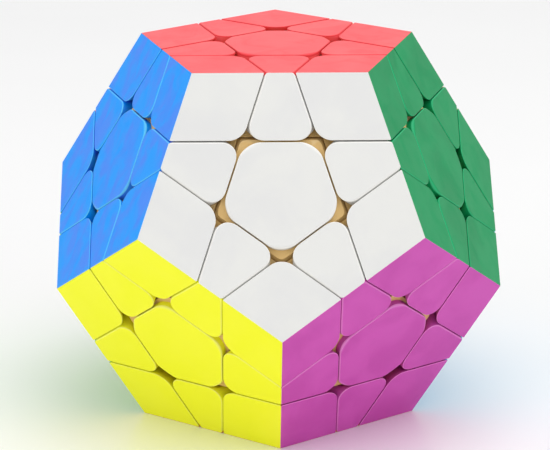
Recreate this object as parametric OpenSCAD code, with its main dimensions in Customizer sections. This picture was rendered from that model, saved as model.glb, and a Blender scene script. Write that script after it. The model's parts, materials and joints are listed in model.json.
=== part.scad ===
// Dodecahedron twisty puzzle: twelve turning layers on a twelve-armed core.
// Every face has one centre, five edge pieces and five corner pieces. Millimetres, +Z up,
// origin on the resting face, below the middle of the puzzle.

/* [Overall] */
// Distance between two opposite faces
face_gap = 75; // [70:0.5:92]
// Depth of a turning layer below its face
layer_depth = 12; // [10:0.1:14.4]

/* [Clearances] */
// Gap between pieces that turn past each other
turn_gap = 0.3; // [0.2:0.05:0.4]
// Gap around pieces that plug together
fit_gap = 0.1; // [0.05:0.05:0.2]
// Gap between a centre cap and the layers that pass it
cap_gap = 0.2; // [0.15:0.05:0.4]

/* [Tiles] */
// Wall of the coloured shells
shell_wall = 1.4; // [1:0.1:1.8]
// Thickness of a centre cap's plate
cap_plate = 1.6; // [1.4:0.1:3]
// Corner radius of a centre cap
cap_corner_r = 4.5; // [2:0.25:6]
// Radius of a corner piece's inner corner
corner_tile_r = 4; // [2:0.25:7]
// Radius of an edge piece's inner corners
edge_tile_r = 2.3; // [1:0.1:3]
// Height from the stems to the bottom of the coloured shells
shell_lift = 2.4; // [1:0.1:2.6]
// Height of the plug that holds the shells on a base
plug_height = 2.5; // [1.5:0.1:4]

/* [Stems and feet] */
// Angle from a turning axis to the side of the stems around it
stem_angle = 41; // [40:0.25:42]
// Angle from a turning axis to the rim of the feet around it
foot_angle = 46; // [44:0.25:48]
// Thickness of the feet
foot_thickness = 3.6; // [2.5:0.1:4.5]
// Drop from the coloured part of an edge piece to its foot
foot_drop = 0.6; // [0.4:0.1:1.5]

/* [Centre pieces] */
// Corner radius of a centre base, under its cap
centre_corner_r = 1.2; // [0.6:0.1:4.5]
// Rim of the cap outside its round skirt
cap_rim = 1.1; // [0.8:0.1:2]
// Wall of the cap's skirt
skirt_wall = 1.2; // [0.8:0.1:1.6]
// Height of the cap's skirt
skirt_height = 3.5; // [2:0.1:5]
// Radius of the spring cup
cup_r = 3.7; // [3.5:0.1:4.2]
// Wall of the spring cup
cup_wall = 1.3; // [1:0.1:2]
// Thickness of the spring cup's floor
cup_floor = 3; // [2:0.1:4]

/* [Core] */
// Radius of the round hub
hub_r = 10; // [9:0.1:11.5]
// Distance from the middle of the puzzle to the end of a post
post_end = 14; // [13.5:0.1:16]
// Radius of a post
post_r = 3.6; // [3:0.1:4.2]
// Radius of the pegs that line up the two halves
peg_r = 0.9; // [0.7:0.1:1.1]
// Height of the pegs
peg_height = 1.4; // [1:0.1:1.8]
// Distance of the pegs from the middle of the puzzle
peg_ring_r = 7.5; // [6.5:0.1:7.8]

/* [Screws and springs] */
// Diameter of a screw's shank
shank_d = 2.6; // [2:0.1:3]
// Length of a screw under its head
shank_length = 20; // [18:0.5:21]
// Diameter of a screw's head
head_d = 5.4; // [4.5:0.1:6]
// Height of a screw's head
head_height = 2; // [1.5:0.1:2.6]
// Distance from the middle of the puzzle to the tip of a screw
shank_end = 6; // [5.5:0.1:7]
// Width of the cross slot in the head
slot_w = 0.9; // [0.6:0.1:1.2]
// Length of the cross slot
slot_length = 3.8; // [3:0.1:4.2]
// Depth of the cross slot
slot_depth = 1.2; // [0.8:0.1:1.3]
// Diameter of the flat washers
washer_d = 6.4; // [5.5:0.1:6.8]
// Thickness of the flat washers
washer_t = 0.5; // [0.3:0.1:0.8]
// Outer diameter of a spring
spring_d = 6; // [5:0.1:6.6]
// Diameter of the spring wire
wire_d = 0.7; // [0.5:0.05:0.9]
// Turns of a spring
spring_turns = 5; // [3:1:7]

/* [Hidden] */

$fn = 48;

// Faces: the top, the ring below it, and the opposite of each.
RED = 0;
WHITE = 1;
GREEN = 2;
CREAM = 3;
PINK = 4;
BLUE = 5;
ORANGE = 6;
GRAY = 7;
LIME = 8;
YELLOW = 9;
PURPLE = 10;
SKY = 11;
FACES = [0 : 11];
// The layers that turn, and the body that holds the rest.
TURNING = [RED, PURPLE, GRAY];
BODY = -1;

FACE_COLOURS = [
  "#e5393f", "#ededea", "#1f9a55", "#f4e7b4", "#f29ab8", "#2b8cf0",
  "#f5822a", "#8d9094", "#8edb3c", "#f4f42e", "#b0489f", "#7cc8ee"
];
BASE_COLOUR = "#c89b5f";
CORE_COLOUR = "#3a3c40";
STEEL_COLOUR = "#b9bcc0";

// Angles of a regular dodecahedron.
NEIGHBOUR_ANGLE = atan(2);
HALF_NEIGHBOUR = NEIGHBOUR_ANGLE / 2;
END_FACE_ANGLE = 90 - HALF_NEIGHBOUR;
CORNER_ANGLE = atan(2 * sin(36) * tan(HALF_NEIGHBOUR) / sin(72));
RING_START = -90;
FIFTH = 72;

inradius = face_gap / 2;
half_gap = turn_gap / 2;
cut = inradius - layer_depth;
reach = 2 * inradius;
// A rounded edge stands this much inside its flanks, so that no surfaces run into each other at a tangent.
rounding_step = 0.03;
// The sides of the cut behind a rounded edge run past its flanks by this share.
spoke_share = 1.2;
// How far a cut runs past the surface that it goes through.
overrun = 1;
// The cosine of a direction that counts as upright.
UPRIGHT = 0.9;

// Stems and feet are rings about the middle of the puzzle.
stem_top = cut / cos(stem_angle);
wing_top = stem_top * cos(NEIGHBOUR_ANGLE - stem_angle) - half_gap;
foot_top = cut / cos(HALF_NEIGHBOUR) - foot_drop;
foot_bottom = foot_top - foot_thickness;
// The coloured shells stand on a flat top of each base.
edge_base_top = stem_top * cos(stem_angle - HALF_NEIGHBOUR) + shell_lift;
corner_base_top = stem_top * cos(stem_angle - CORNER_ANGLE) + shell_lift;

// Centre pieces: gaps and walls that only they have.
pocket_web = 1;
pocket_wall = 1.5;
tube_clearance = 1;
post_gap = 0.2;
shank_clearance = 0.3;
seat_gap = 0.05;

// Screws bite into their posts, whose pilot bores run on past the screws' tips.
thread_bite = 0.1;
pilot_spare = 1;
// A spring's half turns of wire meet in a collar, this much larger, this long and this many degrees wide.
collar_rise = 0.05;
collar_length = 0.5;
collar_turn = 2;

cap_inradius = (cut + half_gap - cap_gap - inradius * cos(NEIGHBOUR_ANGLE)) / sin(NEIGHBOUR_ANGLE);
cap_bottom = inradius - cap_plate;
skirt_r = cap_inradius - cap_rim;
skirt_bottom = cap_bottom - skirt_height;
pocket_r = skirt_r + fit_gap;
pocket_floor = foot_top + pocket_web;
wing_neck_r = pocket_r + pocket_wall;
tube_r = cup_r + cup_wall;
tube_top = skirt_bottom - tube_clearance;

// Posts start where they clear the flat between the two halves of the core.
post_start = post_r / tan(90 - NEIGHBOUR_ANGLE) + post_gap;
stalk_bottom = post_end + post_gap;
cup_bottom = stalk_bottom + cup_floor;
shank_hole_r = shank_d / 2 + shank_clearance;
pilot_end = shank_end - pilot_spare;
head_bottom = shank_end + shank_length;
seat_bottom = cup_bottom + seat_gap;
spring_bottom = seat_bottom + washer_t + collar_rise;
spring_top = head_bottom - washer_t - collar_rise;
coil_r = (spring_d - wire_d) / 2;
coil_pitch = (spring_top - spring_bottom - wire_d) / spring_turns;

function unit(v) = v / norm(v);
function ring(k) = k == 0
  ? [0, 0, 1]
  : let (turn = RING_START + FIFTH * (k - 1))
    [sin(NEIGHBOUR_ANGLE) * cos(turn), sin(NEIGHBOUR_ANGLE) * sin(turn), cos(NEIGHBOUR_ANGLE)];
function normal(k) = k < 6 ? ring(k) : -ring(k - 6);
function meet(i, j) = i != j && normal(i) * normal(j) > 0;
function has(list, value) = len([for (x = list) if (x == value) x]) > 0;
function layer_of(faces) = let (own = [for (f = TURNING) if (has(faces, f)) f])
  len(own) > 0 ? own[0] : BODY;

EDGES = [for (i = FACES, j = FACES) if (i < j && meet(i, j)) [i, j]];
CORNERS = [
  for (e = EDGES, k = FACES) if (e[1] < k && meet(e[0], k) && meet(e[1], k)) [e[0], e[1], k]
];

// Puts a shape's +Z along z, and its +X towards x.
module along(z, x) {
  w = unit(z);
  u = unit(x - (x * w) * w);
  v = cross(w, u);
  multmatrix([
    [u[0], v[0], w[0], 0],
    [u[1], v[1], w[1], 0],
    [u[2], v[2], w[2], 0],
    [0, 0, 0, 1]
  ]) children();
}

function total(vectors, k = 0) = k < len(vectors) ? vectors[k] + total(vectors, k + 1) : [0, 0, 0];
function first(faces, face) = [face, each [for (f = faces) if (f != face) f]];

// A piece that belongs to some faces, with its +Z out of the puzzle and its +X towards its first face.
module on_piece(faces) {
  translate([0, 0, inradius])
    along(total([for (f = faces) normal(f)]), normal(faces[0])) children();
}

// A centre, with its +Z out of the puzzle and one of its neighbours over its +X.
module on_face(k) {
  neighbours = [for (j = FACES) if (meet(k, j)) j];
  translate([0, 0, inradius]) along(normal(k), normal(neighbours[0])) children();
}

// A direction at an angle from +Z, turned about it.
function tilted(angle, turn) = [sin(angle) * cos(turn), sin(angle) * sin(turn), cos(angle)];

// Turns a shape so that its +Z points along n, where its turn about n doesn't matter.
module aimed(n) {
  along(n, abs(n[2]) < UPRIGHT ? [0, 0, 1] : [1, 0, 0]) children();
}

// Everything on the inner side of a plane square to n, at distance d along it.
module below(n, d) {
  aimed(n) translate([-reach, -reach, d - 2 * reach]) cube(2 * reach);
}

// What rounding takes off a corner at the origin that opens along +X.
module rounding(half_angle, r) {
  middle = r / sin(half_angle);
  spoke = spoke_share * r * [-sin(half_angle), cos(half_angle)];
  difference() {
    polygon([[-r, 0], [middle, 0] + spoke, [middle, 0], [middle + spoke[0], -spoke[1]]]);
    translate([middle, 0]) circle(r - rounding_step);
  }
}

// The same along the edge where two planes meet, at distances da and db along their outward normals.
module edge_rounding(na, da, nb, db, r) {
  c = na * nb;
  apex = (na * (da - c * db) + nb * (db - c * da)) / (1 - c * c);
  translate(apex) along(cross(na, nb), -na - nb)
    linear_extrude(height = 2 * reach, center = true) rounding(90 - acos(c) / 2, r);
}

// Half of a sector about +Y, as a turned outline is drawn, with its sides moved in by s.
module sector(angle, s) {
  translate([0, s / sin(angle)])
    polygon([[0, 0], reach * [sin(angle), cos(angle)], [0, reach]]);
}

// A rectangle in the half plane of a turned outline.
module square_from(inner, outer, bottom, top) {
  translate([inner, bottom]) square([outer - inner, top - bottom]);
}

// Outline of a layer about +Z, with its sides moved in by s: all above the cut, and the stems below it.
module stem_outline(s) {
  translate([0, cut + s]) square([2 * reach, reach]);
  intersection() {
    sector(stem_angle, s);
    square([reach, cut + s + overrun]);
  }
}

// The space that one layer sweeps as it turns about +Z: its stems, and the wider feet below those.
module layer_space(s) {
  rotate_extrude() {
    stem_outline(s);
    intersection() {
      sector(foot_angle, s);
      circle(foot_top - s);
    }
  }
}

// ---- Edge pieces: +Z through the middle of the dodecahedron's edge, +X towards the first face.
EDGE_SIDES = [tilted(HALF_NEIGHBOUR, 0), tilted(HALF_NEIGHBOUR, 180)];
EDGE_ENDS = [tilted(END_FACE_ANGLE, 90), tilted(END_FACE_ANGLE, -90)];

// Section of an edge piece across its length, between the outer faces and the cuts, walls taken off.
module edge_section(wall) {
  outer = (inradius - wall) / cos(HALF_NEIGHBOUR);
  inner = (cut + half_gap + wall) / cos(HALF_NEIGHBOUR);
  half_width = (outer - inner) / 2 / tan(HALF_NEIGHBOUR);
  middle = (outer + inner) / 2;
  polygon([[0, inner], [half_width, middle], [0, outer], [-half_width, middle]]);
}

module edge_prism(wall) {
  rotate([90, 0, 0])
    linear_extrude(height = reach, center = true) edge_section(wall);
}

// The hollow inside the shells, less a gap for what plugs into it.
module edge_hollow(gap) {
  intersection() {
    edge_prism(shell_wall + gap);
    below(EDGE_ENDS[0], cut - half_gap - shell_wall - gap);
    below(EDGE_ENDS[1], cut - half_gap - shell_wall - gap);
  }
}

module edge_shell() {
  difference() {
    intersection() {
      edge_prism(0);
      translate([0, -reach, edge_base_top]) cube(2 * reach);
      below(EDGE_ENDS[0], cut - half_gap);
      below(EDGE_ENDS[1], cut - half_gap);
    }
    for (n = EDGE_ENDS)
      edge_rounding(-EDGE_SIDES[1], -cut - half_gap, n, cut - half_gap, edge_tile_r);
    edge_hollow(0);
  }
}

module edge_base() {
  difference() {
    intersection() {
      aimed(EDGE_SIDES[0]) layer_space(half_gap);
      aimed(EDGE_SIDES[1]) layer_space(half_gap);
      below([0, 0, 1], edge_base_top);
    }
    aimed(EDGE_ENDS[0]) layer_space(-half_gap);
    aimed(EDGE_ENDS[1]) layer_space(-half_gap);
    sphere(foot_bottom);
  }
  intersection() {
    edge_hollow(fit_gap);
    translate([-reach, -reach, edge_base_top - plug_height])
      cube([2 * reach, 2 * reach, 2 * plug_height]);
  }
}

// ---- Corner pieces: +Z through the dodecahedron's corner, +X towards the first face.
CORNER_SIDES = [for (turn = [0, 120, -120]) tilted(CORNER_ANGLE, turn)];

module corner_hollow(gap) {
  intersection() {
    intersection_for (n = CORNER_SIDES) below(n, inradius - shell_wall - gap);
    intersection_for (n = CORNER_SIDES) below(-n, -cut - half_gap - shell_wall - gap);
  }
}

module corner_shell() {
  difference() {
    intersection() {
      below(CORNER_SIDES[0], inradius);
      below([0, 0, -1], -corner_base_top);
      below(-CORNER_SIDES[1], -cut - half_gap);
      below(-CORNER_SIDES[2], -cut - half_gap);
      below(unit(CORNER_SIDES[1] - CORNER_SIDES[0]), 0);
      below(unit(CORNER_SIDES[2] - CORNER_SIDES[0]), 0);
    }
    edge_rounding(
      -CORNER_SIDES[1], -cut - half_gap, -CORNER_SIDES[2], -cut - half_gap, corner_tile_r
    );
    corner_hollow(0);
  }
}

// Outline of the round stem and foot below a corner piece.
module corner_outline() {
  intersection() {
    sector(stem_angle - CORNER_ANGLE, half_gap);
    square_from(0, reach, foot_bottom + foot_thickness / 2, stem_top);
  }
  intersection() {
    sector(foot_angle - CORNER_ANGLE, half_gap);
    difference() {
      circle(foot_top - half_gap);
      circle(foot_bottom);
    }
  }
}

module corner_base() {
  rotate_extrude() corner_outline();
  intersection() {
    below([0, 0, 1], corner_base_top);
    intersection_for (n = CORNER_SIDES) below(-n, -cut - half_gap);
  }
  intersection() {
    corner_hollow(fit_gap);
    translate([-reach, -reach, corner_base_top - plug_height])
      cube([2 * reach, 2 * reach, 2 * plug_height]);
  }
}

// ---- Centre pieces: +Z out of the face, a neighbouring face over +X.
CENTRE_SIDES = [for (k = [0 : 4]) tilted(NEIGHBOUR_ANGLE, FIFTH * k)];

module rounded_pentagon(side_distance, r) {
  tip = side_distance / cos(FIFTH / 2);
  difference() {
    polygon([for (k = [0 : 4]) tip * [cos(FIFTH * (k + 0.5)), sin(FIFTH * (k + 0.5))]]);
    for (k = [0 : 4]) rotate(FIFTH * (k + 0.5)) translate([tip, 0])
      rotate(180) rounding(90 - FIFTH / 2, r);
  }
}

module cap() {
  translate([0, 0, cap_bottom])
    linear_extrude(height = cap_plate) rounded_pentagon(cap_inradius, cap_corner_r);
  translate([0, 0, skirt_bottom])
    difference() {
      cylinder(r = skirt_r, h = skirt_height + cap_plate / 2);
      translate([0, 0, -overrun]) cylinder(r = skirt_r - skirt_wall, h = skirt_height + overrun);
    }
}

// Outline of the round part: the stalk, the foot, and the wing that holds the edge pieces' feet in.
module centre_outline() {
  square_from(0, tube_r, stalk_bottom, tube_top);
  intersection() {
    sector(NEIGHBOUR_ANGLE - foot_angle, half_gap);
    difference() {
      circle(foot_top + foot_drop);
      circle(foot_bottom);
    }
  }
  difference() {
    intersection() {
      sector(NEIGHBOUR_ANGLE - stem_angle, half_gap);
      square([reach, wing_top]);
    }
    circle(foot_top + half_gap);
  }
  square_from(0, wing_neck_r, foot_top + turn_gap, wing_top + turn_gap + overrun);
}

module centre_base() {
  difference() {
    union() {
      rotate_extrude() centre_outline();
      difference() {
        translate([-reach / 2, -reach / 2, wing_top + turn_gap])
          cube([reach, reach, cap_bottom - wing_top - turn_gap]);
        for (n = CENTRE_SIDES) below(-n, half_gap - cut);
        for (k = [0 : 4]) edge_rounding(
          CENTRE_SIDES[k], cut - half_gap, CENTRE_SIDES[(k + 1) % 5], cut - half_gap, centre_corner_r
        );
      }
    }
    rotate_extrude() {
      square_from(0, shank_hole_r, 0, inradius);
      square_from(0, cup_r, cup_bottom, inradius);
      square_from(0, pocket_r, tube_top, inradius);
      square_from(tube_r, pocket_r, pocket_floor, inradius);
    }
  }
}

// ---- Core and fasteners: +Z out of the face.
module pegs(gap, remainder) {
  for (k = [0 : 3]) if (k % 2 == remainder)
    rotate(RING_START + FIFTH / 4 + FIFTH * k) translate([peg_ring_r, 0, -peg_height - gap])
      cylinder(r = peg_r + gap, h = 2 * (peg_height + gap));
}

// Half of the core, with the posts of the given faces, on the side that up points to.
module core_half(posts, up) {
  translate([0, 0, inradius]) {
    difference() {
      union() {
        rotate([0, up > 0 ? 0 : 180, 0]) rotate_extrude()
          intersection() {
            circle(hub_r);
            square(hub_r);
          }
        for (k = posts) aimed(normal(k)) translate([0, 0, post_start])
          cylinder(r = post_r, h = post_end - post_start);
      }
      for (k = posts) aimed(normal(k)) translate([0, 0, pilot_end])
        cylinder(r = shank_d / 2 - thread_bite, h = post_end);
      pegs(fit_gap, up > 0 ? 0 : 1);
    }
    pegs(0, up > 0 ? 1 : 0);
  }
}

module screw() {
  difference() {
    union() {
      translate([0, 0, shank_end]) cylinder(r = shank_d / 2, h = shank_length);
      translate([0, 0, head_bottom]) cylinder(r = head_d / 2, h = head_height);
    }
    for (turn = [0, 90]) rotate(turn)
      translate([-slot_length / 2, -slot_w / 2, head_bottom + head_height - slot_depth])
        cube([slot_length, slot_w, head_height]);
  }
}

module washer(bottom) {
  translate([0, 0, bottom]) difference() {
    cylinder(r = washer_d / 2, h = washer_t);
    translate([0, 0, -overrun]) cylinder(r = shank_d / 2 + fit_gap, h = washer_t + 2 * overrun);
  }
}

// Half turns of wire, each tilted to climb half a pitch, with a small collar where two of them meet.
module spring() {
  tilt = atan(coil_pitch / 4 / coil_r);
  for (k = [0 : 2 * spring_turns - 1])
    translate([0, 0, spring_bottom + wire_d / 2 + coil_pitch * (k + 0.5) / 2])
      rotate(180 * k) rotate([0, tilt, 0]) rotate(collar_turn)
        rotate_extrude(angle = 180 - 2 * collar_turn)
          translate([coil_r / cos(tilt), 0]) circle(wire_d / 2);
  for (k = [0 : 2 * spring_turns])
    translate([(k % 2 == 0 ? 1 : -1) * coil_r, 0, spring_bottom + wire_d / 2 + coil_pitch * k / 2])
      rotate([90, 0, 0]) cylinder(r = wire_d / 2 + collar_rise, h = collar_length, center = true);
}

// ---- Sub-parts
module face_cap(face) {
  color(FACE_COLOURS[face]) on_face(face) cap();
}

module tiles(face, layer) {
  color(FACE_COLOURS[face]) {
    for (e = EDGES) if (has(e, face) && layer_of(e) == layer)
      on_piece(first(e, face)) edge_shell();
    for (c = CORNERS) if (has(c, face) && layer_of(c) == layer)
      on_piece(first(c, face)) corner_shell();
  }
}

module edge_bases(layer) {
  color(BASE_COLOUR) for (e = EDGES) if (layer_of(e) == layer) on_piece(e) edge_base();
}

module corner_bases(layer) {
  color(BASE_COLOUR) for (c = CORNERS) if (layer_of(c) == layer) on_piece(c) corner_base();
}

module centre_bases(layer) {
  color(BASE_COLOUR) for (f = FACES) if (layer_of([f]) == layer) on_face(f) centre_base();
}

module core_upper_half() {
  color(CORE_COLOUR) core_half([0 : 5], 1);
}

module core_lower_half() {
  color(CORE_COLOUR) core_half([6 : 11], -1);
}

module tension_screws() {
  color(STEEL_COLOUR) for (f = FACES) on_face(f) screw();
}

module tension_springs() {
  color(STEEL_COLOUR) for (f = FACES) on_face(f) spring();
}

module screw_washers() {
  color(STEEL_COLOUR) for (f = FACES) on_face(f) washer(head_bottom - washer_t);
}

module spring_seat_washers() {
  color(STEEL_COLOUR) for (f = FACES) on_face(f) washer(seat_bottom);
}

face_cap(RED);  // red_cap
face_cap(WHITE);  // white_cap
face_cap(GREEN);  // green_cap
face_cap(CREAM);  // cream_cap
face_cap(PINK);  // pink_cap
face_cap(BLUE);  // blue_cap
face_cap(ORANGE);  // orange_cap
face_cap(GRAY);  // gray_cap
face_cap(LIME);  // lime_cap
face_cap(YELLOW);  // yellow_cap
face_cap(PURPLE);  // purple_cap
face_cap(SKY);  // sky_cap
tiles(RED, RED);  // red_layer_red_tiles
tiles(WHITE, RED);  // red_layer_white_tiles
tiles(GREEN, RED);  // red_layer_green_tiles
tiles(CREAM, RED);  // red_layer_cream_tiles
tiles(PINK, RED);  // red_layer_pink_tiles
tiles(BLUE, RED);  // red_layer_blue_tiles
tiles(PURPLE, PURPLE);  // purple_layer_purple_tiles
tiles(WHITE, PURPLE);  // purple_layer_white_tiles
tiles(GREEN, PURPLE);  // purple_layer_green_tiles
tiles(SKY, PURPLE);  // purple_layer_sky_tiles
tiles(ORANGE, PURPLE);  // purple_layer_orange_tiles
tiles(YELLOW, PURPLE);  // purple_layer_yellow_tiles
tiles(GRAY, GRAY);  // gray_layer_gray_tiles
tiles(CREAM, GRAY);  // gray_layer_cream_tiles
tiles(PINK, GRAY);  // gray_layer_pink_tiles
tiles(LIME, GRAY);  // gray_layer_lime_tiles
tiles(ORANGE, GRAY);  // gray_layer_orange_tiles
tiles(SKY, GRAY);  // gray_layer_sky_tiles
tiles(WHITE, BODY);  // body_white_tiles
tiles(GREEN, BODY);  // body_green_tiles
tiles(CREAM, BODY);  // body_cream_tiles
tiles(PINK, BODY);  // body_pink_tiles
tiles(BLUE, BODY);  // body_blue_tiles
tiles(ORANGE, BODY);  // body_orange_tiles
tiles(LIME, BODY);  // body_lime_tiles
tiles(YELLOW, BODY);  // body_yellow_tiles
tiles(SKY, BODY);  // body_sky_tiles
edge_bases(RED);  // red_layer_edge_bases
edge_bases(PURPLE);  // purple_layer_edge_bases
edge_bases(GRAY);  // gray_layer_edge_bases
edge_bases(BODY);  // body_edge_bases
corner_bases(RED);  // red_layer_corner_bases
corner_bases(PURPLE);  // purple_layer_corner_bases
corner_bases(GRAY);  // gray_layer_corner_bases
corner_bases(BODY);  // body_corner_bases
centre_bases(RED);  // red_layer_centre_base
centre_bases(PURPLE);  // purple_layer_centre_base
centre_bases(GRAY);  // gray_layer_centre_base
centre_bases(BODY);  // body_centre_bases
core_upper_half();
core_lower_half();
tension_screws();
tension_springs();
screw_washers();
spring_seat_washers();
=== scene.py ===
import json
import math

import bpy
from mathutils import Matrix, Vector


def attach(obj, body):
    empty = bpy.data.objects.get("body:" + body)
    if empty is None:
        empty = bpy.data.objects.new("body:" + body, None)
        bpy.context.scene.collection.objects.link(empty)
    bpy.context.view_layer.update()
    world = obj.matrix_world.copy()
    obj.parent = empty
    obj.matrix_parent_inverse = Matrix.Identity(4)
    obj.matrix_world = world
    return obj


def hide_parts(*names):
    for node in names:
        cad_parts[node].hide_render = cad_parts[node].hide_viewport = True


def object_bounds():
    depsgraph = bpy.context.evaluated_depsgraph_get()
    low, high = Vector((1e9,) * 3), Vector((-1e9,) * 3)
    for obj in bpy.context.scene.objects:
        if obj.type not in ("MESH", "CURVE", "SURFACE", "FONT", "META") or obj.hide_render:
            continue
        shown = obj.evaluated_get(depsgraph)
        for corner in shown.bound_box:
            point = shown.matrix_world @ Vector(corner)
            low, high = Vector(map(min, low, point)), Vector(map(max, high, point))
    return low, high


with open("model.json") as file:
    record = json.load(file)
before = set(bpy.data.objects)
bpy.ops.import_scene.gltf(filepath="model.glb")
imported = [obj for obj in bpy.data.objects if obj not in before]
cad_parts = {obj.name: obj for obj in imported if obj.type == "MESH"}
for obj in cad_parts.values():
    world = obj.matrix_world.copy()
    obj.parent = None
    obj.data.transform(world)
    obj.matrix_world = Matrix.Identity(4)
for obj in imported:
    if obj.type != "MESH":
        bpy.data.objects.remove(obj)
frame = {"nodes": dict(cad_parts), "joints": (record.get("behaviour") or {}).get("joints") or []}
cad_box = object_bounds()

# Dodecahedron twisty puzzle. Metres, +Z up, standing on one face at the origin.
nodes = frame["nodes"]

# ---- Core
# Two half hubs of dark glass-filled nylon with six posts each. They are moulded, pegged together
# and held by the twelve screws, and keep the fine matt grain of the mould.


class Socket:
    """One output in a material's node tree. Sums, differences and shares of it are Math nodes."""

    def __init__(self, tree, output):
        self.tree = tree
        self.output = output

    def feed(self, target, value):
        """Links a socket to an input, or sets the input to a constant."""
        if isinstance(value, Socket):
            self.tree.links.new(value.output, target)
        else:
            target.default_value = value

    def node(self, kind, settings, inputs, output=0):
        """Adds a node, makes its settings, feeds its inputs and gives one of its outputs."""
        made = self.tree.nodes.new(kind)
        for name, value in settings.items():
            setattr(made, name, value)
        for name, value in inputs.items():
            self.feed(made.inputs[name], value)
        return Socket(self.tree, made.outputs[output])

    def math(self, operation, first, second):
        return self.node("ShaderNodeMath", {"operation": operation}, {0: first, 1: second})

    def __add__(self, other):
        return self.math("ADD", self, other)

    def __radd__(self, other):
        return self.math("ADD", other, self)

    def __sub__(self, other):
        return self.math("SUBTRACT", self, other)

    def __rmul__(self, other):
        return self.math("MULTIPLY", other, self)

    def stretched(self, turn, scale):
        """The same place, turned and then scaled along each axis."""
        return self.node(
            "ShaderNodeMapping", {}, {"Vector": self, "Rotation": turn, "Scale": scale}
        )

    def noise(self, scale, detail=2.0, distortion=0.0):
        """Soft noise from 0 to 1 at this place, with its features 1 / scale metres across."""
        return self.node(
            "ShaderNodeTexNoise",
            {},
            {"Vector": self, "Scale": scale, "Detail": detail, "Distortion": distortion},
        )

    def ramp(self, low, high):
        """0 up to low, 1 from high on, and smooth in between."""
        return self.node(
            "ShaderNodeMapRange",
            {"interpolation_type": "SMOOTHSTEP"},
            {"Value": self, "From Min": low, "From Max": high},
        )

    def mix(self, first, second):
        """The first colour where this is 0, and the second where it is 1."""
        return self.node(
            "ShaderNodeMix",
            {"data_type": "RGBA"},
            {"Factor": self, 6: first, 7: second},
            output=2,
        )

    def bump(self, strength, height):
        """The surface's normal, raised by this much of a height in metres."""
        return self.node(
            "ShaderNodeBump", {}, {"Height": self, "Strength": strength, "Distance": height}
        )


def linear(red, green, blue):
    """A colour given on the usual 0 to 255 scale, as the shader takes it."""
    parts = [value / 255 for value in (red, green, blue)]
    return tuple(
        p / 12.92 if p <= 0.04045 else ((p + 0.055) / 1.055) ** 2.4 for p in parts
    ) + (1,)


def new_material(name):
    """An empty finish: the material, its shader, and the place on the object."""
    made = bpy.data.materials.new(name)
    made.use_nodes = True
    tree = made.node_tree
    place = Socket(tree, tree.nodes.new("ShaderNodeTexCoord").outputs["Object"])
    return made, tree.nodes["Principled BSDF"], place


def finish_node(name, material):
    """Gives a CAD node its finish."""
    slots = nodes[name].data.materials
    slots.clear()
    slots.append(material)


def core_nylon():
    made, shader, place = new_material("core_nylon")
    cloud = place.noise(150)
    grain = place.noise(2600)
    place.feed(shader.inputs["Base Color"], cloud.mix(linear(46, 47, 51), linear(66, 68, 73)))
    place.feed(shader.inputs["Roughness"], 0.5 + 0.2 * grain)
    place.feed(shader.inputs["Normal"], grain.bump(0.5, 0.00004))
    return made


core_finish = core_nylon()
for name in ("core_upper_half", "core_lower_half"):
    finish_node(name, core_finish)

# ---- Screws and washers
# Turned and zinc-plated steel: twelve cross-slotted screws that bite into the posts, and two flat
# washers to each, one under its head and one on the floor of the spring cup.


def plated_steel():
    made, shader, place = new_material("plated_steel")
    turning_marks = place.stretched((0, 0, 0), (1, 1, 7)).noise(1400, detail=4)
    dulled = place.noise(260, detail=5).ramp(0.45, 0.7)
    tone = dulled.mix(linear(205, 208, 212), linear(160, 160, 158))
    place.feed(shader.inputs["Base Color"], tone)
    shader.inputs["Metallic"].default_value = 1
    place.feed(shader.inputs["Roughness"], 0.2 + 0.12 * turning_marks + 0.18 * dulled)
    place.feed(shader.inputs["Normal"], turning_marks.bump(0.3, 0.00003))
    return made


steel_finish = plated_steel()
for name in ("tension_screws", "screw_washers", "spring_seat_washers"):
    finish_node(name, steel_finish)

# ---- Springs
# Twelve compression springs of bright drawn wire, five turns with a flat half turn at each end,
# that press the centre pieces inwards. Each is held between its two washers.
axes = {
    joint["child"].removesuffix("_cap"): Vector(joint["axis"]).normalized()
    for joint in frame["joints"]
    if joint["name"].endswith("_cap_lift")
}
layers = [joint["child"] for joint in frame["joints"] if joint["name"].endswith("_turn")]
inradius = (cad_box[1].z - cad_box[0].z) / 2
middle = Vector((0, 0, inradius))
# Points nearer to each other than this are the same point.
same_spot = 1e-6
wire_r = 0.00035
wire_sides = 12
spring_r = 0.00265
spring_turns = 5
turn_steps = 32
spring_low = 0.01785
spring_high = 0.02540


def neighbours(colour):
    return [other for other in axes if other != colour and axes[colour].dot(axes[other]) > 0]


def layer_of(colours):
    """The turning layer that a piece with these colours belongs to, or else the body."""
    own = [layer for layer in layers if layer.removesuffix("_layer") in colours]
    return own[0] if own else "puzzle_body"


def place_on(colours):
    """Where a piece goes that is made with +Z out of the puzzle and +X towards its first colour."""
    out = sum((axes[colour] for colour in colours), Vector()).normalized()
    if len(colours) > 1:
        side = axes[colours[0]]
    else:
        side = axes[neighbours(colours[0])[0]]
    across = (side - side.dot(out) * out).normalized()
    turn = Matrix((across, out.cross(across), out)).transposed().to_4x4()
    return Matrix.Translation(middle) @ turn


def copied(model, place):
    """A copy of a finished model, with its place in its own mesh."""
    made = model.copy()
    made.data = model.data.copy()
    made.data.transform(place)
    bpy.context.scene.collection.objects.link(made)
    return made


def joined(name, parts):
    """Makes several copies one piece."""
    bpy.ops.object.select_all(action="DESELECT")
    for part in parts:
        part.select_set(True)
    bpy.context.view_layer.objects.active = parts[0]
    if len(parts) > 1:
        bpy.ops.object.join()
    parts[0].name = name
    return parts[0]


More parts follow.
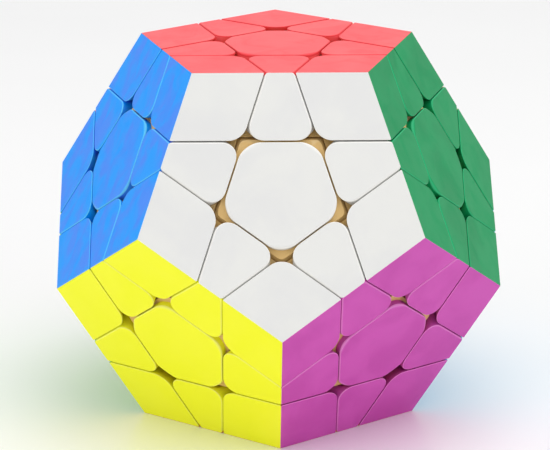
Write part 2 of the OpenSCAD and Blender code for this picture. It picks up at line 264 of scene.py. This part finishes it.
def applied(piece, kind, **settings):
    """Adds a modifier to a piece and applies it."""
    bpy.ops.object.select_all(action="DESELECT")
    piece.select_set(True)
    bpy.context.view_layer.objects.active = piece
    modifier = piece.modifiers.new(kind.lower(), kind)
    for name, value in settings.items():
        setattr(modifier, name, value)
    bpy.ops.object.modifier_apply(modifier=modifier.name)


def spring_model():
    bpy.ops.object.select_all(action="DESELECT")
    bpy.ops.mesh.primitive_circle_add(
        vertices=wire_sides,
        radius=wire_r,
        location=(spring_r, 0, spring_low + wire_r),
        rotation=(math.pi / 2, 0, 0),
    )
    made = bpy.context.active_object
    bpy.ops.object.transform_apply(location=True, rotation=True, scale=True)
    climb = (spring_high - spring_low - 2 * wire_r) / spring_turns
    applied(
        made,
        "SCREW",
        axis="Z",
        screw_offset=climb,
        iterations=spring_turns,
        steps=turn_steps,
        render_steps=turn_steps,
        use_merge_vertices=False,
    )
    for end, turn in ((spring_low + wire_r, math.pi), (spring_high - wire_r, -math.pi)):
        bpy.ops.object.mode_set(mode="EDIT")
        bpy.ops.mesh.select_mode(type="EDGE")
        bpy.ops.mesh.select_all(action="DESELECT")
        bpy.ops.object.mode_set(mode="OBJECT")
        for edge in made.data.edges:
            ends = [made.data.vertices[v].co for v in edge.vertices]
            edge.select = all(
                abs(p.y) < same_spot and p.x > 0 and abs(p.z - end) < 1.1 * wire_r for p in ends
            )
        bpy.ops.object.mode_set(mode="EDIT")
        bpy.ops.mesh.spin(steps=turn_steps // 2, angle=turn, center=(0, 0, 0), axis=(0, 0, 1))
        bpy.ops.mesh.edge_face_add()
        bpy.ops.object.mode_set(mode="OBJECT")
    bpy.ops.object.mode_set(mode="EDIT")
    bpy.ops.mesh.select_all(action="SELECT")
    bpy.ops.mesh.remove_doubles(threshold=same_spot)
    bpy.ops.mesh.normals_make_consistent(inside=False)
    bpy.ops.object.mode_set(mode="OBJECT")
    bpy.ops.object.shade_smooth_by_angle(angle=math.radians(50))
    return made


def drawn_wire():
    made, shader, place = new_material("drawn_wire")
    die_marks = place.stretched((0, 0, 0), (1, 1, 0.15)).noise(3000, detail=3)
    oil = place.noise(500).ramp(0.4, 0.75)
    place.feed(shader.inputs["Base Color"], oil.mix(linear(214, 216, 220), linear(176, 172, 160)))
    shader.inputs["Metallic"].default_value = 1
    place.feed(shader.inputs["Roughness"], 0.16 + 0.16 * die_marks + 0.1 * oil)
    place.feed(shader.inputs["Normal"], die_marks.bump(0.25, 0.00002))
    return made


spring = spring_model()
springs = joined("helical_springs", [copied(spring, place_on([colour])) for colour in axes])
springs.data.materials.append(drawn_wire())
bpy.data.objects.remove(spring)
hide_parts("tension_springs")
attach(springs, "puzzle_body")

# ---- Bases
# The hidden inner part of each centre, edge and corner piece, moulded in natural tan ABS. Their
# flat tops show through the four-pointed holes between the tiles; feet and stems run in the tracks.


def tan_plastic():
    made, shader, place = new_material("tan_plastic")
    cloud = place.noise(120, detail=3)
    grain = place.noise(3200, detail=3)
    rubbed = place.noise(340, detail=6, distortion=0.6).ramp(0.5, 0.72)
    tone = cloud.ramp(0.3, 0.7).mix(linear(226, 186, 116), linear(234, 196, 128))
    place.feed(shader.inputs["Base Color"], rubbed.mix(tone, linear(240, 208, 150)))
    place.feed(shader.inputs["Roughness"], 0.5 + 0.15 * grain - 0.14 * rubbed)
    place.feed(shader.inputs["Normal"], grain.bump(0.35, 0.00003))
    return made


base_finish = tan_plastic()
for name in nodes:
    if name.endswith(("_edge_bases", "_corner_bases", "_centre_base", "_centre_bases")):
        finish_node(name, base_finish)

# ---- Edge shells
# Sixty hollow trapezoids of coloured ABS, two to an edge piece, fitted over its base and meeting
# along the mitre. The rims are softly rounded, and so are the two corners next to the centre.
layer_depth = 0.012
half_gap = 0.00015
cut = inradius - layer_depth
stem_angle = math.radians(41)
stem_top = cut / math.cos(stem_angle)
shell_lift = 0.0024
shell_wall = 0.0014
edge_tile_r = 0.0023
rim_r = 0.00022
mitre_share = 0.35
rim_segments = 4
# How fast a face takes the painted rim-lighting tone as it leans away from the flat outer side.
rim_gain = 4
smooth_below = math.radians(38)
neighbour_angle = math.atan(2)
edge_angle = neighbour_angle / 2
edge_base_top = stem_top * math.cos(stem_angle - edge_angle) + shell_lift


def tilted(angle, turn):
    """A direction at an angle from +Z, turned about it."""
    return Vector(
        (math.sin(angle) * math.cos(turn), math.sin(angle) * math.sin(turn), math.cos(angle))
    )


def side(direction, distance):
    """One flat side of a solid: its outward direction, and how far out it lies."""
    return direction, distance


def cut_block(name, sides):
    """A block that is cut flat along each of its sides."""
    bpy.ops.object.select_all(action="DESELECT")
    bpy.ops.mesh.primitive_cube_add(size=4 * inradius)
    made = bpy.context.active_object
    made.name = name
    bpy.ops.object.mode_set(mode="EDIT")
    for direction, distance in sides:
        bpy.ops.mesh.select_all(action="SELECT")
        bpy.ops.mesh.bisect(
            plane_co=direction * distance,
            plane_no=direction,
            use_fill=True,
            clear_outer=True,
            threshold=1e-7,
        )
    bpy.ops.mesh.select_all(action="SELECT")
    bpy.ops.mesh.normals_make_consistent(inside=False)
    bpy.ops.object.mode_set(mode="OBJECT")
    return made


def edges_between(piece, first, second):
    """The edges that lie in both of two flat sides."""
    points = [v.co for v in piece.data.vertices]
    return [
        edge
        for edge in piece.data.edges
        if all(
            abs(points[v].dot(direction) - distance) < same_spot
            for v in edge.vertices
            for direction, distance in (first, second)
        )
    ]


def rounded(piece, first, second, radius, segments=10):
    """Rounds the edge between two flat sides to a radius."""
    bpy.ops.object.select_all(action="DESELECT")
    piece.select_set(True)
    bpy.context.view_layer.objects.active = piece
    bpy.ops.object.mode_set(mode="EDIT")
    bpy.ops.mesh.select_mode(type="EDGE")
    bpy.ops.mesh.select_all(action="DESELECT")
    bpy.ops.object.mode_set(mode="OBJECT")
    for edge in edges_between(piece, first, second):
        edge.select = True
    reach = radius * math.tan(first[0].angle(second[0]) / 2)
    bpy.ops.object.mode_set(mode="EDIT")
    bpy.ops.mesh.bevel(offset=reach, offset_type="OFFSET", segments=segments, affect="EDGES")
    bpy.ops.object.mode_set(mode="OBJECT")


def rim_weights(piece, shares):
    """Sets how much of the full rounding of the rims each edge gets, by the two sides that it lies
    in.
    """
    weights = piece.data.attributes.new("bevel_weight_edge", "FLOAT", "EDGE")
    for first, second, share in shares:
        for edge in edges_between(piece, first, second):
            weights.data[edge.index].value = share


def hollowed(piece, cavity):
    """Cuts the inside out of a shell."""
    applied(piece, "BOOLEAN", operation="DIFFERENCE", object=cavity, solver="EXACT")
    bpy.data.objects.remove(cavity)


def smoothed(piece):
    """Smooth rounded rims next to flat faces."""
    bpy.ops.object.select_all(action="DESELECT")
    piece.select_set(True)
    bpy.context.view_layer.objects.active = piece
    bpy.ops.object.shade_smooth_by_angle(angle=smooth_below)
    applied(piece, "WEIGHTED_NORMAL", keep_sharp=True, weight=100)


def mark_rims(piece, out, distance, depth):
    """Marks the rounded faces round a flat outer side, the steeper the more, where the finish paints
    rim lighting: the light that rounded rims catch from the lamps.
    """
    marks = piece.data.attributes.new("rim", "FLOAT", "FACE")
    for face in piece.data.polygons:
        lean = face.normal.dot(out)
        if lean > 0 and distance - face.center.dot(out) < depth:
            marks.data[face.index].value = min(1, rim_gain * (1 - lean))


def edge_shell_model():
    """+Z is out through the dodecahedron's edge, and the shell lies on its +X side."""
    outer = side(tilted(edge_angle, 0), inradius)
    mitre = side(Vector((-1, 0, 0)), 0)
    track = side(-tilted(edge_angle, math.pi), -cut - half_gap)
    ends = [
        side(tilted(math.pi / 2 - edge_angle, turn), cut - half_gap)
        for turn in (math.pi / 2, -math.pi / 2)
    ]
    bottom = side(Vector((0, 0, -1)), -edge_base_top)
    made = cut_block("edge_shell", [outer, mitre, track, *ends, bottom])
    for end in ends:
        rounded(made, track, end, edge_tile_r)
    rims = [(outer, outer, 1), (outer, mitre, mitre_share)]
    rim_weights(made, rims + [(mitre, end, 1) for end in ends])
    applied(made, "BEVEL", limit_method="WEIGHT", width=rim_r, segments=rim_segments)
    walls = [side(wall[0], wall[1] - shell_wall) for wall in (outer, track, *ends)]
    hollowed(made, cut_block("cavity", [side(mitre[0], shell_wall), *walls]))
    smoothed(made)
    # The rounded rims round the outer side get the painted rim lighting.
    mark_rims(made, *outer, rim_r)
    return made


def handled_plastic(name, main, second, rim, mottle_and_reflection_scale=90, reflection_stretch=(1, 1, 1)):
    """Satin ABS: slow changes of tone, which on blue are stretched into streaks of painted
    reflection; rim lighting painted in a tone of its own on the rims, a painted highlight on most
    colours; and a polish dulled by hands.
    """
    made, shader, place = new_material(name)
    # On blue these clouds are stretched into streaks of painted reflection.
    cloud = place.stretched((0.5, 0.3, 0.8), reflection_stretch).noise(mottle_and_reflection_scale, detail=4, distortion=0.5)
    grain = place.noise(2400, detail=3)
    smudges = place.noise(140, detail=6, distortion=1.2).ramp(0.42, 0.7)
    hairlines = place.stretched((0.4, 0.9, 0.2), (1, 14, 1)).noise(220, detail=6).ramp(0.6, 0.74)
    # The marked rims take the painted rim-lighting tone.
    rims = place.node("ShaderNodeAttribute", {"attribute_name": "rim"}, {}, output=2)
    tone = cloud.ramp(0.36, 0.66).mix(main, second)
    place.feed(shader.inputs["Base Color"], (0.85 * rims).mix(tone, rim))
    place.feed(shader.inputs["Roughness"], 0.34 + 0.09 * smudges + 0.06 * hairlines)
    place.feed(shader.inputs["Normal"], (grain + 0.35 * hairlines).bump(0.12, 0.00002))
    shader.inputs["Specular IOR Level"].default_value = 0.12
    return made


# Each plastic's third tone is its painted rim lighting: a painted highlight, lighter than the
# plastic, on every colour but red.
shell_finishes = {
    "white": handled_plastic(
        "white_plastic", linear(226, 226, 223), linear(222, 222, 221), linear(252, 250, 244)
    ),
    # The red lies on top, under the top softbox: its first two tones are lightened as a painted
    # reflection of that lamp, and its rim tone is the plastic's own deeper red.
    "red": handled_plastic(
        "red_plastic", linear(255, 102, 106), linear(250, 92, 98), linear(222, 48, 54)
    ),
    "green": handled_plastic(
        "green_plastic", linear(12, 150, 90), linear(8, 142, 84), linear(60, 190, 130)
    ),
    "cream": handled_plastic(
        "cream_plastic", linear(247, 233, 184), linear(243, 226, 172), linear(252, 243, 214)
    ),
    "pink": handled_plastic(
        "pink_plastic", linear(246, 156, 188), linear(240, 144, 178), linear(252, 190, 212)
    ),
    # Blue's second tone, laid in long stretched streaks, is a painted reflection over the azure
    # plastic.
    "blue": handled_plastic(
        "blue_plastic",
        linear(4, 156, 255),
        linear(66, 140, 250),
        linear(110, 214, 255),
        mottle_and_reflection_scale=260,
        reflection_stretch=(1, 1, 0.4),
    ),
    "orange": handled_plastic(
        "orange_plastic", linear(250, 128, 36), linear(244, 116, 28), linear(255, 164, 92)
    ),
    "gray": handled_plastic(
        "gray_plastic", linear(146, 150, 154), linear(136, 140, 145), linear(182, 186, 190)
    ),
    "lime": handled_plastic(
        "lime_plastic", linear(146, 222, 56), linear(134, 212, 48), linear(190, 242, 120)
    ),
    "yellow": handled_plastic(
        "yellow_plastic", linear(254, 255, 52), linear(252, 254, 42), linear(255, 255, 130)
    ),
    "purple": handled_plastic(
        "purple_plastic", linear(210, 88, 184), linear(200, 78, 174), linear(244, 150, 222)
    ),
    "sky": handled_plastic(
        "sky_plastic", linear(126, 204, 244), linear(114, 194, 238), linear(178, 228, 250)
    ),
}
edge_shell = edge_shell_model()
shells = {}
for first in axes:
    for second in neighbours(first):
        own = shells.setdefault((layer_of([first, second]), first), [])
        own.append(copied(edge_shell, place_on([first, second])))
bpy.data.objects.remove(edge_shell)

# ---- Corner shells
# Sixty hollow rhombuses of coloured ABS, three to a corner piece, fitted over its base and
# meeting along the mitres. The corner next to the centre is broadly rounded.
corner_tile_r = 0.004
third = 2 * math.pi / 3
corner_angle = math.atan(
    2 * math.sin(math.pi / 5) * math.tan(edge_angle) / math.sin(2 * math.pi / 5)
)
corner_base_top = stem_top * math.cos(stem_angle - corner_angle) + shell_lift


def corner_shell_model():
    """+Z is out through the dodecahedron's corner, and the shell lies on its +X side."""
    out, left, right = (tilted(corner_angle, turn) for turn in (0, third, -third))
    outer = side(out, inradius)
    mitres = [side((other - out).normalized(), 0) for other in (left, right)]
    tracks = [side(-other, -cut - half_gap) for other in (left, right)]
    bottom = side(Vector((0, 0, -1)), -corner_base_top)
    made = cut_block("corner_shell", [outer, *mitres, *tracks, bottom])
    rounded(made, *tracks, corner_tile_r, segments=14)
    rims = [(outer, outer, 1)] + [(outer, mitre, mitre_share) for mitre in mitres]
    rim_weights(made, rims + [(mitre, track, 1) for mitre in mitres for track in tracks])
    applied(made, "BEVEL", limit_method="WEIGHT", width=rim_r, segments=rim_segments)
    walls = [side(wall[0], wall[1] - shell_wall) for wall in (outer, *tracks)]
    openings = [side(mitre[0], shell_wall) for mitre in mitres]
    hollowed(made, cut_block("cavity", [*walls, *openings]))
    smoothed(made)
    # The rounded rims round the outer side get the painted rim lighting.
    mark_rims(made, *outer, rim_r)
    return made


corner_shell = corner_shell_model()
for first in axes:
    for second in neighbours(first):
        for last in neighbours(first):
            if second < last and axes[second].dot(axes[last]) > 0:
                own = shells.setdefault((layer_of([first, second, last]), first), [])
                own.append(copied(corner_shell, place_on([first, second, last])))
bpy.data.objects.remove(corner_shell)
for (layer, colour), parts in shells.items():
    group = layer if layer in layers else "body"
    piece = joined(f"{group}_{colour}_shells", parts)
    piece.data.materials.append(shell_finishes[colour])
    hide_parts(f"{group}_{colour}_tiles")
    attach(piece, layer)

# ---- Centre caps
# Twelve flat pentagons of coloured ABS, one to a face, that snap into their bases by a slotted
# round skirt and lift off to reach the screws. Their corners are rounded softer than their sides.
cap_plate = 0.0016
cap_gap = 0.0002
cap_corner_r = 0.0045
cap_rim = 0.0011
track_reach = cut + half_gap - cap_gap
cap_inradius = (track_reach - inradius * math.cos(neighbour_angle)) / math.sin(neighbour_angle)
cap_bottom = inradius - cap_plate
skirt_r = cap_inradius - cap_rim
skirt_wall = 0.0012
skirt_height = 0.0035
slot_width = 0.0011
slot_height = 0.0022
rib_width = 0.0008
rib_height = 0.0009
bars_across = 3
ring_sides = 80
corner_rim_r = 0.0009
side_rim_share = 0.26
fifth = 2 * math.pi / 5


def ring(outer, wall, low, high):
    """An upright ring."""
    bpy.ops.object.select_all(action="DESELECT")
    bpy.ops.mesh.primitive_circle_add(
        vertices=ring_sides, radius=outer, fill_type="NGON", location=(0, 0, low)
    )
    made = bpy.context.active_object
    bpy.ops.object.transform_apply(location=True, rotation=True, scale=True)
    bpy.ops.object.mode_set(mode="EDIT")
    bpy.ops.mesh.select_mode(type="FACE")
    bpy.ops.mesh.select_all(action="SELECT")
    bpy.ops.mesh.inset(thickness=wall, depth=0)
    bpy.ops.mesh.delete(type="FACE")
    bpy.ops.mesh.select_all(action="SELECT")
    bpy.ops.mesh.extrude_region_move(TRANSFORM_OT_translate={"value": (0, 0, high - low)})
    bpy.ops.mesh.select_all(action="SELECT")
    bpy.ops.mesh.normals_make_consistent(inside=False)
    bpy.ops.object.mode_set(mode="OBJECT")
    return made


def bar(length, width, low, high, turn):
    """A bar across the middle, at a turn about +Z."""
    along = Vector((math.cos(turn), math.sin(turn), 0))
    across = Vector((-along.y, along.x, 0))
    ends = [side(sign * along, length / 2) for sign in (1, -1)]
    flanks = [side(sign * across, width / 2) for sign in (1, -1)]
    flats = [side(Vector((0, 0, 1)), high), side(Vector((0, 0, -1)), -low)]
    return cut_block("bar", [*ends, *flanks, *flats])


def cap_model():
    """+Z is out of the face, and one of the cap's sides is over +X."""
    top = side(Vector((0, 0, 1)), inradius)
    flanks = [side(tilted(math.pi / 2, fifth * k), cap_inradius) for k in range(5)]
    made = cut_block("cap", [top, side(Vector((0, 0, -1)), -cap_bottom), *flanks])
    for k in range(5):
        rounded(made, flanks[k], flanks[k - 1], cap_corner_r, segments=16)
    weights = made.data.attributes.new("bevel_weight_edge", "FLOAT", "EDGE")
    points = [v.co for v in made.data.vertices]
    for edge in edges_between(made, top, top):
        a, b = (points[v] for v in edge.vertices)
        facing = math.atan2(b.x - a.x, a.y - b.y) % fifth
        off_side = min(facing, fifth - facing) / (fifth / 2)
        weights.data[edge.index].value = side_rim_share + (1 - side_rim_share) * off_side**2
    applied(made, "BEVEL", limit_method="WEIGHT", width=corner_rim_r, segments=5)
    joint = cap_bottom + cap_plate / 2
    skirt_bottom = cap_bottom - skirt_height
    skirt = ring(skirt_r, skirt_wall, skirt_bottom, joint)
    slot_top = skirt_bottom + slot_height
    for k in range(bars_across):
        turn = math.pi * k / bars_across
        hollowed(skirt, bar(3 * skirt_r, slot_width, 0, slot_top, turn))
    applied(made, "BOOLEAN", operation="UNION", object=skirt, solver="EXACT")
    bpy.data.objects.remove(skirt)
    for k in range(bars_across):
        turn = math.pi * (k + 0.5) / bars_across
        rib = bar(2 * skirt_r - skirt_wall, rib_width, cap_bottom - rib_height, joint, turn)
        applied(made, "BOOLEAN", operation="UNION", object=rib, solver="EXACT")
        bpy.data.objects.remove(rib)
    smoothed(made)
    # The rounded rims round the top get the painted rim lighting.
    mark_rims(made, *top, corner_rim_r)
    return made


cap = cap_model()
for colour in axes:
    piece = copied(cap, place_on([colour]))
    piece.name = f"{colour}_centre_cap"
    piece.data.materials.append(shell_finishes[colour])
    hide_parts(f"{colour}_cap")
    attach(piece, f"{colour}_cap")
bpy.data.objects.remove(cap)

# ---- Room, lights and camera
# A plain white table under large soft lights, seen a little from above.
camera_reach = 0.5743
camera_azimuth = math.radians(-1.11)
camera_elevation = math.radians(17.7)


def white_table():
    made, shader, place = new_material("white_table")
    sheen = place.noise(14, detail=3)
    tone = sheen.mix(linear(244, 244, 244), linear(247, 247, 247))
    place.feed(shader.inputs["Base Color"], tone)
    place.feed(shader.inputs["Roughness"], 0.3 + 0.1 * sheen)
    return made


bpy.ops.mesh.primitive_plane_add(size=6, location=(0, 0, 0))
table = bpy.context.active_object
table.name = "table"
table.data.materials.append(white_table())

world = bpy.data.worlds.new("room")
world.use_nodes = True
world.node_tree.nodes["Background"].inputs["Color"].default_value = (1, 1, 1, 1)
world.node_tree.nodes["Background"].inputs["Strength"].default_value = 0.71
bpy.context.scene.world = world


def softbox(name, place, size, power):
    """A square area light that looks at the puzzle."""
    bpy.ops.object.light_add(type="AREA", location=place)
    light = bpy.context.active_object
    light.name = name
    light.data.size = size
    light.data.energy = power
    light.rotation_euler = (middle - Vector(place)).to_track_quat("-Z", "Y").to_euler()


softbox("top_softbox", (0.15, -0.1, 0.9), 0.9, 4.1)
softbox("left_softbox", (-0.8, -0.5, 0.45), 0.6, 1.35)
softbox("right_softbox", (0.8, -0.6, 0.5), 0.6, 1.0)

away = Vector(
    (
        math.sin(camera_azimuth) * math.cos(camera_elevation),
        -math.cos(camera_azimuth) * math.cos(camera_elevation),
        math.sin(camera_elevation),
    )
)
bpy.ops.object.camera_add(location=middle + camera_reach * away)
camera = bpy.context.active_object
camera.rotation_euler = away.to_track_quat("Z", "Y").to_euler()
camera.data.lens = 185.65
camera.data.sensor_width = 36
camera.data.shift_x = -0.0047
camera.data.shift_y = -0.0038
bpy.context.scene.camera = camera
bpy.context.scene.view_settings.view_transform = "Standard"
